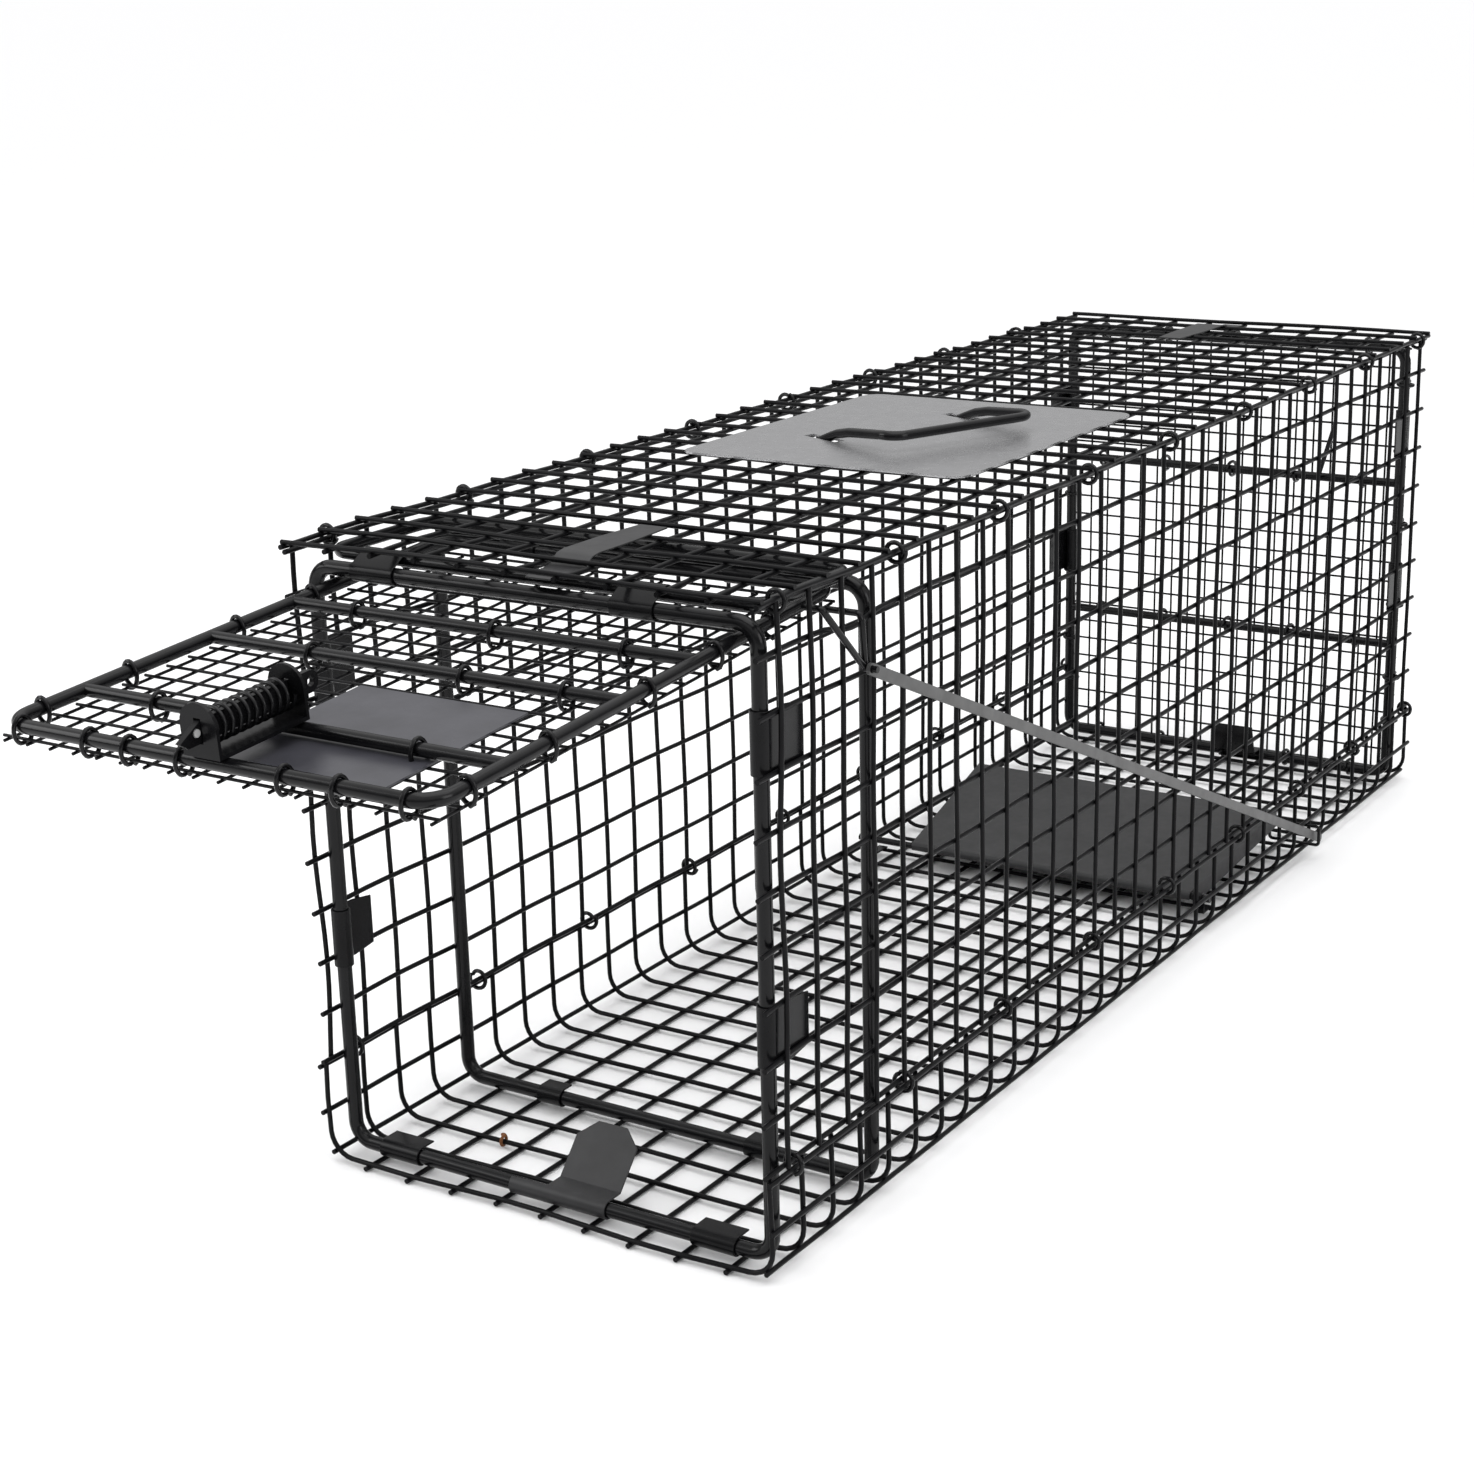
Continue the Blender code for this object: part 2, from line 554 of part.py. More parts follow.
def build_trigger():
    top = Vector((0, 0))
    end = Vector(TRIGGER_END) - Vector(TRIGGER_TOP)
    along = end.normalized()
    side = Vector((-along.y, along.x)) * TRIGGER_WIDTH / 2
    start = math.degrees(math.atan2(side.y, side.x))
    outline = arc(top, TRIGGER_WIDTH / 2, start, start + 180, 6)
    outline += arc(end, TRIGGER_WIDTH / 2, start + 180, start + 360, 6)
    where = Matrix.Translation((0, *TRIGGER_TOP)) @ along_x(TRIGGER_X)
    rod = add_object("trigger_rod", plate_mesh(outline, TRIGGER_THICK), where,
                     colour=STEEL_GREY, roughness=0.5, metallic=0.6)
    combine_cut(rod, cylinder((0, 0, 0), HOOK_WIRE + 0.3 * MM, 8 * MM))

    y, z = TRIGGER_TOP
    pivot_y, pivot_z = HOOK_PIVOT
    finger_z = HINGE_Z - math.tan(DOOR_DROOP) * (INNER_Y - y) - DOOR_ROD - HOOK_WIRE - 0.8 * MM
    finger_y = y - 2 * MM
    wire = [(119 * MM, pivot_y, pivot_z), (HOOK_X - 1 * MM, pivot_y, pivot_z),
            (HOOK_X, pivot_y + 0.6 * MM, pivot_z - 1.5 * MM), (HOOK_X, y, z),
            (HOOK_X, finger_y, finger_z - 3 * MM), (HOOK_X - 1.5 * MM, finger_y, finger_z),
            (HOOK_END_X, finger_y, finger_z)]
    pivot = Matrix.Translation((0, *HOOK_PIVOT))
    mesh = moved(rod_mesh(wire, HOOK_WIRE), pivot.inverted())
    hook = add_object("trigger_hook", mesh, pivot, roughness=0.3)
    pin = rod_mesh([(HOOK_X, y, z), (HOOK_X + 6.5 * MM, y, z)], HOOK_WIRE)
    combine(hook, [moved(pin, pivot.inverted())])
    low, high = 8.14 * CELL, 9.65 * CELL
    rod_y = REAR_Y - ROD - 2.2 * MM
    add_object("rear_hook_rod", rod_mesh([(64 * MM, rod_y, low), (75 * MM, rod_y, high)], 1.5 * MM))


# ---------------------------------------------------------------- carrying plate and bail


def build_handle():
    low_x, high_x = PLATE_X
    low_y, high_y = PLATE_Y
    bend = 9 * MM
    corners = ((high_x - bend, low_y + bend, -90), (high_x - bend, high_y - bend, 0),
               (low_x + bend, high_y - bend, 90), (low_x + bend, low_y + bend, 180))
    outline = []
    for x, y, start in corners:
        outline += arc((x, y), bend, start, start + 90, 3)
    where = Matrix.Translation((0, 0, PLATE_Z + PLATE_THICK / 2))
    plate = add_object("handle_plate", plate_mesh(outline, PLATE_THICK), where,
                       colour=(0.03, 0.03, 0.03), roughness=0.2)
    bail_axes = Matrix.Translation(BAIL_CENTRE) @ Matrix.Rotation(-BAIL_TURN, 4, "Z")
    slots = boxes_mesh([((-SLOT_LONG / 2, side * BAIL_HALF - SLOT_WIDE / 2, -5 * MM),
                         (SLOT_LONG / 2, side * BAIL_HALF + SLOT_WIDE / 2, 5 * MM)) for side in (-1, 1)])
    slots.transform(where.inverted() @ bail_axes)
    combine_cut(plate, slots)

    bend, (toe, turned) = 9 * MM, BAIL_TOE
    far, half = BAIL_LEG, BAIL_HALF
    foot = [(-toe, -half + turned, -toe / 2), (-toe, -half, -toe / 2), (0, -half, 0),
            (12 * MM, -half, 4.2 * MM)]
    grip = arc((far - bend, -half + bend), bend, -90, 0, 4)
    grip += [(x, -y) for x, y in grip[::-1]]
    other = [(x, -y, z) for x, y, z in foot[::-1]]
    bail = rod_mesh(foot + [(x, y, BAIL_RISE) for x, y in grip] + other, BAIL_WIRE)
    add_object("carry_handle", bail, bail_axes, roughness=0.25)


# ---------------------------------------------------------------- rings


def ring(name, x, y, z):
    points = [(x + dx, y, z + dz) for dx, dz in arc((0, 0), RING_RADIUS, 20, 350, 11)]
    add_object(name, rod_mesh(points, RING_WIRE, resolution=1), roughness=0.35)


def build_rings():
    middle = HALF_WIDTH - WIRE
    seams = (("side_seam", SEAM_Z), ("top_seam", HEIGHT - 2 * WIRE - 0.2 * MM))
    for side, hand in ((-1, "left"), (1, "right")):
        for seam, z in seams:
            for number, cell in enumerate((5.0, 15.0, 27.0), 1):
                ring(f"{seam}_ring_{hand}_{number}", side * middle, cell * CELL - HALF_LENGTH, z)


build_floor_tray()
build_wall("left_wall_mesh", -1)
build_wall("right_wall_mesh", 1)
build_top()
build_rear_mesh()
build_frames()
build_sleeves()
build_strike_plate()
build_clips()
build_top_latches()
build_door()
build_bolt()
build_treadle()
build_trigger()
build_handle()
build_rings()
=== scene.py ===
"""Looks of the live catch trap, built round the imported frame.

The panels become round welded wires at their full pitch, the frames smooth bent rods, and ring clips lace
every seam. Rolled and folded sheets are rebuilt with fine bends. Axes are the frame's: -Y is the door end,
+X the side of the trigger rod and +Z up. Lengths are in metres.
"""

import math
import random

import bmesh
import bpy
from mathutils import Matrix, Vector


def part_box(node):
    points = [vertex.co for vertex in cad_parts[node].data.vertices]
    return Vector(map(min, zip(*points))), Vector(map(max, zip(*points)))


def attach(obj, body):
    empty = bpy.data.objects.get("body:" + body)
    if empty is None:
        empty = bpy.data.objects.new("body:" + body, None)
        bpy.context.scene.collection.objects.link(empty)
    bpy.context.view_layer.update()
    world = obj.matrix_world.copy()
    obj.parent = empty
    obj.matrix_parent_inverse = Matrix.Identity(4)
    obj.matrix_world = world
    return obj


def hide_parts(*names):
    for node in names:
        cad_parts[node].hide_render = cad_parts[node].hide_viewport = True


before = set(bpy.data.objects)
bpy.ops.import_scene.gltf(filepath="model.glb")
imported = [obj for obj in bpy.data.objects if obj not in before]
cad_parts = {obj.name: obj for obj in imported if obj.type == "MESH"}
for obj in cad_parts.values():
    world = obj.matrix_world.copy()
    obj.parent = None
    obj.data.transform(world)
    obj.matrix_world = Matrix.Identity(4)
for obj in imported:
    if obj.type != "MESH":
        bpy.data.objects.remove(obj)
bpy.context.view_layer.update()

MM = 0.001
CELL = 25.4 * MM
FINE_CELL = CELL / 2  # the mesh of the door and the rear panel
WIRE = 1.25 * MM  # radius
FINE_WIRE = 0.7 * MM
LAYER = 2.0 * MM  # from one layer of a panel's wires to the layer across it
WAVE = 0.45 * MM  # how far the panels' wires stray from straight
END = 2.5 * MM  # how far wires run past the last wire that they cross
FINE_END = END / 2
FINE_LAYER = 1.3 * MM
PANEL_SIDES, ROD_SIDES, BAR_SIDES = 7, 20, 18  # flats round a mesh wire, a hoop and a crossbar
ROD, DOOR_ROD, CROSSBAR = 3.5 * MM, 3.0 * MM, 2.8 * MM
ROD_BEND = 10 * MM
SHEET = 0.8 * MM
SLEEVE = 0.7 * MM  # from a rod's surface to the middle of the sheet rolled round it
RING_RADIUS, RING_WIRE = 4.5 * MM, 1.1 * MM
RING_PITCH = 3.9  # cells between ring clips along a seam

HALF_WIDTH, HALF_LENGTH, TRAY_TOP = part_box("floor_tray_mesh")[1]
SEAM_Z = TRAY_TOP + 0.3 * MM  # where the tray's sides meet the walls
TOP_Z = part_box("top_mesh")[1][2]
CELLS_WIDE, CELLS_LONG, CELLS_HIGH = (round(2 * HALF_WIDTH / CELL), round(2 * HALF_LENGTH / CELL),
                                      round(TOP_Z / CELL))


def middle(node, axis):
    """The middle of a CAD node's box on one axis."""
    low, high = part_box(node)
    return (low[axis] + high[axis]) / 2


FRONT_Y, INNER_Y, REAR_Y = (middle(node, 1) for node in ("front_frame", "inner_frame", "rear_frame"))
POST_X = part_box("front_frame")[1][0] - ROD
BOTTOM_BAR_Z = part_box("front_frame")[0][2] + ROD
HINGE_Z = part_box("inner_frame")[1][2] - ROD
REAR_BARS_Z = (3.85 * CELL, 8.15 * CELL)
TIE_Z = middle("top_front_frame", 2)
DOOR_DROOP = math.radians(4)
DOOR = Matrix.Translation((0, INNER_Y, HINGE_Z)) @ Matrix.Rotation(DOOR_DROOP, 4, "X")
DOOR_X, DOOR_LENGTH, DOOR_START = 107 * MM, 281 * MM, 7.7 * MM
DOOR_BARS = (114 * MM, 166 * MM, 239 * MM)
DOOR_MESH_TOP = -4.6 * MM  # under the door's rods
BOLT_X, BOLT_Z = middle("latch_bolt", 0), 14 * MM
SPRING_FROM, SPRING_TO = 282.6 * MM, 240.4 * MM
SPRING_RADIUS, SPRING_WIRE = 6.3 * MM, 0.85 * MM
FLAP = 9 * MM  # from the front bar's middle to the bend of the sheets rolled round it

HOOK_WIRE = 1.5 * MM  # radius
HOOK_X = 129 * MM  # the plane outside the right wall that the hook swings in
HOOK_PIVOT_Y, HOOK_PIVOT_Z = -363.22 * MM, 291 * MM
PIN_Y, PIN_Z = -330.2 * MM, 258 * MM  # the hook's pin, which carries the trigger rod
FINGER_Y = PIN_Y - 2 * MM
FINGER_Z = HINGE_Z - math.tan(DOOR_DROOP) * (INNER_Y - PIN_Y) - DOOR_ROD - HOOK_WIRE - 0.8 * MM
FINGER_ROOM = 3.4 * MM  # how far the wire below the finger is bent down


# ---------------------------------------------------------------- materials


def link(tree, source, target):
    tree.links.new(source, target)


def paint(name, colour, rough=(0.25, 0.4), metallic=0.0, shine=0.25, grain=0.02 * MM, speck=0.35):
    """A coated or bare metal: mottled colour, uneven gloss and the fine orange peel of the coating."""
    material = bpy.data.materials.new(name)
    material.use_nodes = True
    tree = material.node_tree
    nodes = tree.nodes
    shader = nodes["Principled BSDF"]
    shader.inputs["Metallic"].default_value = metallic
    shader.inputs["Specular IOR Level"].default_value = shine
    where = nodes.new("ShaderNodeTexCoord").outputs["Object"]

    def noise(scale, detail):
        node = nodes.new("ShaderNodeTexNoise")
        node.inputs["Scale"].default_value = scale
        node.inputs["Detail"].default_value = detail
        link(tree, where, node.inputs["Vector"])
        return node.outputs["Fac"]

    mottle = nodes.new("ShaderNodeValToRGB")
    mottle.color_ramp.elements[0].position = 0.35
    mottle.color_ramp.elements[1].position = 0.75
    mottle.color_ramp.elements[0].color = (*colour, 1)
    mottle.color_ramp.elements[1].color = (*[c * (1 + speck) + 0.002 for c in colour], 1)
    link(tree, noise(60, 6), mottle.inputs["Fac"])
    link(tree, mottle.outputs["Color"], shader.inputs["Base Color"])
    gloss = nodes.new("ShaderNodeMapRange")
    gloss.inputs["To Min"].default_value, gloss.inputs["To Max"].default_value = rough
    link(tree, noise(220, 3), gloss.inputs["Value"])
    link(tree, gloss.outputs["Result"], shader.inputs["Roughness"])
    peel = nodes.new("ShaderNodeBump")
    peel.inputs["Strength"].default_value = 0.35
    peel.inputs["Distance"].default_value = grain
    link(tree, noise(1500, 2), peel.inputs["Height"])
    link(tree, peel.outputs["Normal"], shader.inputs["Normal"])
    return material


WIRE_BLACK = paint("wire_black", (0.003, 0.003, 0.0035), (0.25, 0.4), shine=0.1, speck=0.6)
ROD_BLACK = paint("rod_black", (0.003, 0.003, 0.0035), (0.14, 0.26), shine=0.2)
SHEET_BLACK = paint("sheet_black", (0.003, 0.003, 0.0035), (0.16, 0.3), shine=0.14)
CHARCOAL = paint("charcoal", (0.021, 0.021, 0.022), (0.35, 0.48), shine=0.28)
DOOR_PLATE = paint("door_plate_paint", (0.035, 0.035, 0.042), (0.25, 0.35), shine=0.4)
TOP_PLATE = paint("top_plate_metal", (0.5, 0.5, 0.51), (0.22, 0.3), metallic=0.85, shine=0.5, speck=0.06)
STEEL = paint("trigger_steel", (0.07, 0.07, 0.07), (0.32, 0.48), metallic=0.5, shine=0.4, speck=0.5)
BRIGHT = paint("rivet_steel", (0.75, 0.75, 0.75), (0.3, 0.4), metallic=0.6, shine=0.5, speck=0.05)
RUST = paint("rusty_ring", (0.12, 0.045, 0.015), (0.5, 0.7), speck=1.0)


# ---------------------------------------------------------------- mesh helpers


def sweep(shape, points, radius, closed=False, sides=8):
    """Adds a round bar along the points to a bmesh."""
    points = [Vector(p) for p in points]
    count = len(points)
    normal, rings = None, []
    for i, point in enumerate(points):
        before = points[i - 1] if closed or i else point
        after = points[(i + 1) % count] if closed or i < count - 1 else point
        along = (after - before).normalized()
        normal = along.orthogonal() if normal is None else normal
        normal = (normal - along * normal.dot(along)).normalized()
        across = along.cross(normal)
        angles = [2 * math.pi * k / sides for k in range(sides)]
        rings.append([shape.verts.new(point + (normal * math.cos(a) + across * math.sin(a)) * radius)
                      for a in angles])
    pairs = list(zip(rings, rings[1:]))
    if closed:
        pairs.append((rings[-1], rings[0]))
    for first, second in pairs:
        for k in range(sides):
            n = (k + 1) % sides
            shape.faces.new((first[k], first[n], second[n], second[k]))
    if not closed:
        shape.faces.new(rings[0][::-1])
        shape.faces.new(rings[-1])


def piece(name, shape, body, material, nodes=(), where=None, sharp=35):
    """Makes an object from a bmesh, and says what it rides on and stands for."""
    mesh = bpy.data.meshes.new(name)
    bmesh.ops.recalc_face_normals(shape, faces=shape.faces)
    shape.to_mesh(mesh)
    shape.free()
    if where is not None:
        mesh.transform(where)
    mesh.shade_smooth()
    mesh.set_sharp_from_angle(angle=math.radians(sharp))
    mesh.materials.append(material)
    thing = bpy.data.objects.new(name, mesh)
    bpy.context.scene.collection.objects.link(thing)
    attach(thing, body)
    if nodes:
        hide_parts(*nodes)
    return thing


def rods(name, paths, radius, body, material, nodes=(), where=None, closed=False, sides=14):
    """One piece made of round bars."""
    shape = bmesh.new()
    for path in paths:
        sweep(shape, path, radius, closed, sides)
    return piece(name, shape, body, material, nodes, where, sharp=60)


def soften(thing, width=0.3 * MM):
    """Rounds an object's sharp edges, so that they catch the light."""
    bevel = thing.modifiers.new("soft_edges", "BEVEL")
    bevel.width = width
    bevel.segments = 2
    bevel.limit_method = "ANGLE"
    bevel.angle_limit = math.radians(40)
    return thing


def arc(centre, radius, start, end, steps=16):
    """2-D points on an arc, from one angle in degrees to another."""
    angles = [math.radians(start + (end - start) * i / steps) for i in range(steps + 1)]
    return [(centre[0] + radius * math.cos(a), centre[1] + radius * math.sin(a)) for a in angles]


def rounded_loop(x, low, high, bend=ROD_BEND, steps=8):
    """A rounded rectangle, symmetric about the first axis, as 2-D points."""
    points = []
    for cx, cy, start in ((x, low, -90), (x, high, 0), (-x, high, 90), (-x, low, 180)):
        centre = (cx - math.copysign(bend, cx), cy + (bend if cy == low else -bend))
        points += arc(centre, bend, start, start + 90, steps)
    return points


def warp(point):
    """The panels' slight waviness, as one smooth shift, so that crossing wires stay welded.

    It grows towards the door end, where the wires have been handled.
    """
    x, y, z = (c / CELL for c in point)
    size = WAVE * (1 + 2.2 * math.exp(-(point[1] + HALF_LENGTH) / (1.5 * CELL)))
    lift = 0.6 * (1 - math.exp(-max(z, 0)))  # none at the floor, which the lowest wires rest on
    return Vector(point) + size * Vector((0.25 * math.sin(1.7 * y + 0.9 * z), math.sin(1.1 * x + 1.3 * z + 2),
                                          lift * math.sin(0.8 * x + 1.5 * y + 1)))


def between(start, end, step=CELL / 2):
    """Points along a wire, close enough together to follow the waviness."""
    start, end = Vector(start), Vector(end)
    count = max(2, math.ceil((end - start).length / step))
    return [start.lerp(end, i / count) for i in range(count + 1)]


def panel(name, wires, radius, body, nodes, where=None, wavy=True):
    """One piece made of mesh wires."""
    shape = bmesh.new()
    for wire in wires:
        sweep(shape, [warp(p) for p in wire] if wavy else wire, radius, sides=PANEL_SIDES)
    return piece(name, shape, body, WIRE_BLACK, nodes, where, sharp=60)


def cells(count, start=0.0):
    """Places one cell apart."""
    return [(start + i) * CELL for i in range(count)]


# ---------------------------------------------------------------- wire panels


def build_tray():
    """A sheet of mesh folded up at both sides, with its lengthwise wires outside the hoops."""
    inner, outer, floor = HALF_WIDTH - 3 * MM, HALF_WIDTH - 1 * MM, 3 * MM
    bend = 12 * MM
    side_z = CELL * 1.3  # a point on the hoop's straight side, above the bend
    hoop = [(-inner, SEAM_Z), (-inner, side_z)]
    hoop += arc((bend - inner, floor + bend), bend, 180, 270, 6)
    hoop += [(x, floor) for x in cells(7, -3)]
    hoop += arc((inner - bend, floor + bend), bend, 270, 360, 6)
    hoop += [(inner, side_z), (inner, SEAM_Z)]
    wires = [[(x, y - HALF_LENGTH, z) for x, z in hoop] for y in cells(CELLS_LONG + 1)]
    corner = (bend - inner, floor + bend)
    corner_x, corner_z = arc(corner, bend + LAYER, 225, 225, 1)[0]
    rails = [(x - HALF_WIDTH, WIRE + 0.05 * MM) for x in cells(CELLS_WIDE - 1, 1)]
    rails += [(side * corner_x, corner_z) for side in (-1, 1)]
    rails += [(side * outer, z) for side in (-1, 1) for z in (CELL, SEAM_Z - 1.5 * MM)]
    reach = HALF_LENGTH + END
    wires += [between((x, -reach, z), (x, reach, z)) for x, z in rails]
    panel("floor_tray_wires", wires, WIRE, "cage", ["floor_tray_mesh"])


def dipped(point):
    """The wire below the hook's finger is bent down, which leaves the finger room to drop."""
    away = min(abs(point.y - FINGER_Y) / CELL, 1)
    return point - Vector((0, 0, FINGER_ROOM * (1 + math.cos(math.pi * away)) / 2))


def build_wall(hand, side, offset):
    """Uprights outside, lengthwise wires inside. The uprights don't line up with the tray's hoops."""
    inner, outer = side * (HALF_WIDTH - 3.2 * MM), side * (HALF_WIDTH - 1.3 * MM)
    low, high = SEAM_Z + 1.3 * MM, TOP_Z - 5 * MM
    rows = [low, *cells(CELLS_HIGH - 3, 3), high]
    reach = HALF_LENGTH + END
    wires = [between((inner, -reach, z), (inner, reach, z)) for z in rows]
    if hand == "right":
        z = max(row for row in rows if row < FINGER_Z)
        fine = between((inner, -reach, z), (inner, reach, z), CELL / 6)
        wires[rows.index(z)] = [dipped(p) for p in fine]
    for cell in cells(CELLS_LONG, offset):
        y = cell - HALF_LENGTH
        wires.append(between((outer, y, low - 1 * MM), (outer, y, high + 1 * MM)))
    panel(f"{hand}_wall_wires", wires, WIRE, "cage", [f"{hand}_wall_mesh"])


def build_top():
    rail_z, rung_z = TOP_Z - 3 * MM, TOP_Z - 1.1 * MM
    edge = HALF_WIDTH - 1 * MM
    reach = HALF_LENGTH + END
    wires = []
    for x in cells(CELLS_WIDE + 1):
        place = min(max(x - HALF_WIDTH, -edge), edge)
        wires.append(between((place, -reach, rail_z), (place, reach, rail_z)))
    for cell in cells(CELLS_LONG + 1):
        y = cell - HALF_LENGTH
        wires.append(between((-edge - WIRE, y, rung_z), (edge + WIRE, y, rung_z)))
    panel("top_wires", wires, WIRE, "cage", ["top_mesh"])


def fine_grid(half_x, low, high):
    """Half-inch mesh: where its wires stand across the panel, and where they stand up it."""
    columns, rows = round(2 * half_x / FINE_CELL), round((high - low) / FINE_CELL)
    along = [-half_x + 2 * half_x * i / columns for i in range(columns + 1)]
    across = [low + (high - low) * i / rows for i in range(rows + 1)]
    return along, across


def build_rear():
    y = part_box("rear_mesh")[0][1] + 1 * MM
    back, reach = y + FINE_LAYER, POST_X + FINE_END
    low, high = (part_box("rear_mesh")[i][2] for i in (0, 1))
    along, across = fine_grid(POST_X, low + FINE_END, high - FINE_END)
    wires = [between((x, y, low), (x, y, high)) for x in along]
    wires += [between((-reach, back, z), (reach, back, z)) for z in across]
    panel("rear_wires", wires, FINE_WIRE, "cage", ["rear_mesh"], wavy=False)


def build_door_panel():
    """Half-inch mesh under the door's rods, its ends showing past them."""
    z = DOOR_MESH_TOP - FINE_WIRE
    lower = z - FINE_LAYER
    low, high = -DOOR_LENGTH, -DOOR_START - 4 * MM
    along, across = fine_grid(DOOR_X, low, high)
    past = FINE_END + 1 * MM
    wires = [between((x, low - past, lower), (x, high + past / 2, lower), CELL) for x in along]
    wires += [between((-DOOR_X - past, y, z), (DOOR_X + past, y, z), CELL) for y in across]
    panel("door_wires", wires, FINE_WIRE, "door", ["door_mesh"], DOOR, wavy=False)


# ---------------------------------------------------------------- frames


def upright(y, low, high):
    """The middle line of an upright hoop."""
    return [(x, y, z) for x, z in rounded_loop(POST_X, low, high)]


def build_frames():
    for name, y in (("front_frame", FRONT_Y), ("inner_frame", INNER_Y)):
        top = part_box(name)[1][2] - ROD
        rods(f"{name}_rod", [upright(y, BOTTOM_BAR_Z, top)], ROD, "cage", ROD_BLACK, [name],
             closed=True, sides=ROD_SIDES)
    low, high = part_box("top_front_frame")
    tie = rounded_loop(high[0] - DOOR_ROD, low[1] + DOOR_ROD, high[1] - DOOR_ROD)
    rods("top_front_rod", [[(x, y, TIE_Z) for x, y in tie]], DOOR_ROD, "cage", ROD_BLACK,
         ["top_front_frame"], closed=True, sides=ROD_SIDES)
    shape = bmesh.new()
    sweep(shape, upright(REAR_Y, BOTTOM_BAR_Z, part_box("rear_frame")[1][2] - ROD), ROD, True, ROD_SIDES)
    for z in REAR_BARS_Z:
        sweep(shape, [(-POST_X, REAR_Y, z), (POST_X, REAR_Y, z)], CROSSBAR, sides=BAR_SIDES)
    piece("rear_frame_rods", shape, "cage", ROD_BLACK, ["rear_frame"], sharp=60)
    shape = bmesh.new()
    loop = [(x, y, 0) for x, y in rounded_loop(DOOR_X, -DOOR_LENGTH, -DOOR_START, 12 * MM)]
    sweep(shape, loop, DOOR_ROD, True, ROD_SIDES)
    for distance in DOOR_BARS:
        sweep(shape, [(-DOOR_X, -distance, 0), (DOOR_X, -distance, 0)], CROSSBAR, sides=BAR_SIDES)
    piece("door_rods", shape, "door", ROD_BLACK, ["door_frame"], DOOR, sharp=60)


# ---------------------------------------------------------------- rolled and folded sheets


def strip(path, thickness=SHEET):
    """The left and right lines of a strip whose middle line is the path."""
    left, right = [], []
    for i, point in enumerate(path):
        here = Vector(point)
        ahead = (Vector(path[min(i + 1, len(path) - 1)]) - here).normalized()
        behind = (here - Vector(path[max(i - 1, 0)])).normalized()
        along = (ahead + behind).normalized()
        side = Vector((-along.y, along.x))
        turn = ahead if ahead.length else behind
        reach = thickness / 2 / max(0.4, abs(side.dot(Vector((-turn.y, turn.x)))))
        left.append(here + side * reach)
        right.append(here - side * reach)
    return left, right


def sheet(name, path, spans, body, material, nodes, where):
    """A bent sheet: the path is its side view, and spans gives its low and high edge at each point."""
    left, right = strip(path)
    shape = bmesh.new()
    rows = []
    for (low, high), a, b in zip(spans, left, right):
        rows.append([shape.verts.new((v.x, v.y, w)) for v, w in ((a, low), (a, high), (b, high), (b, low))])
    for first, second in zip(rows, rows[1:]):
        for k in range(4):
            n = (k + 1) % 4
            shape.faces.new((first[k], first[n], second[n], second[k]))
    shape.faces.new(rows[0][::-1])
    shape.faces.new(rows[-1])
    return soften(piece(name, shape, body, material, nodes, where), 0.25 * MM)


# Turns a side view drawn in Y and Z, with its widths in the third place, into the frame's axes.
YZ_ALONG_X = Matrix(((0, 0, 1, 0), (1, 0, 0, 0), (0, 1, 0, 0), (0, 0, 0, 1)))


def roll(centre, rod, start, end, steps=24):
    """The middle line of a sheet rolled round a rod."""
    return arc(centre, rod + SLEEVE, start, end, steps)


def level(path, node):
    """The same low and high X at every point: the CAD node's."""
    low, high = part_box(node)
    return [(low[0], high[0])] * len(path)


def build_sleeves():
    low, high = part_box("top_front_frame")
    tie_front = (low[1] + DOOR_ROD, TIE_Z)
    top_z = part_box("front_frame")[1][2] - ROD
    top = roll((FRONT_Y, top_z), ROD, -50, -235) + roll(tie_front, DOOR_ROD, 120, -35)
    front = roll((FRONT_Y, BOTTOM_BAR_Z), ROD, -40, -270)
    front.append((FRONT_Y + FLAP, front[-1][1]))
    inner = roll((INNER_Y, BOTTOM_BAR_Z), ROD, -40, -270)
    inner.append((INNER_Y + 7 * MM, inner[-1][1]))
    for kind, path in (("top", top), ("bottom", front), ("inner", inner)):
        for hand in ("left", "right"):
            node = f"{kind}_sleeve_{hand}"
            sheet(f"{node}_sheet", path, level(path, node), "cage", SHEET_BLACK, [node],
                  YZ_ALONG_X)


def build_strike_plate():
    """The door's strike: a long sleeve on the front bar, and a raised plate with cut corners."""
    low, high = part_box("strike_plate")
    path = roll((FRONT_Y, BOTTOM_BAR_Z), ROD, -40, -270)
    spans = [(low[0] - 20 * MM, high[0])] * (len(path) - 2)
    spans += [(low[0], high[0])] * 2
    foot = Vector((FRONT_Y + FLAP, path[-1][1]))
    tip = foot + Vector((20 * MM, 22 * MM))
    # the plate keeps its full width up to its cut corners
    for share, cut in ((0.0, 0), (0.12, 0), (0.72, 0), (1.0, 9 * MM)):
        path.append(tuple(foot.lerp(tip, share)))
        spans.append((low[0] + cut, high[0] - cut))
    sheet("strike_plate_sheet", path, spans, "cage", CHARCOAL, ["strike_plate"], YZ_ALONG_X)


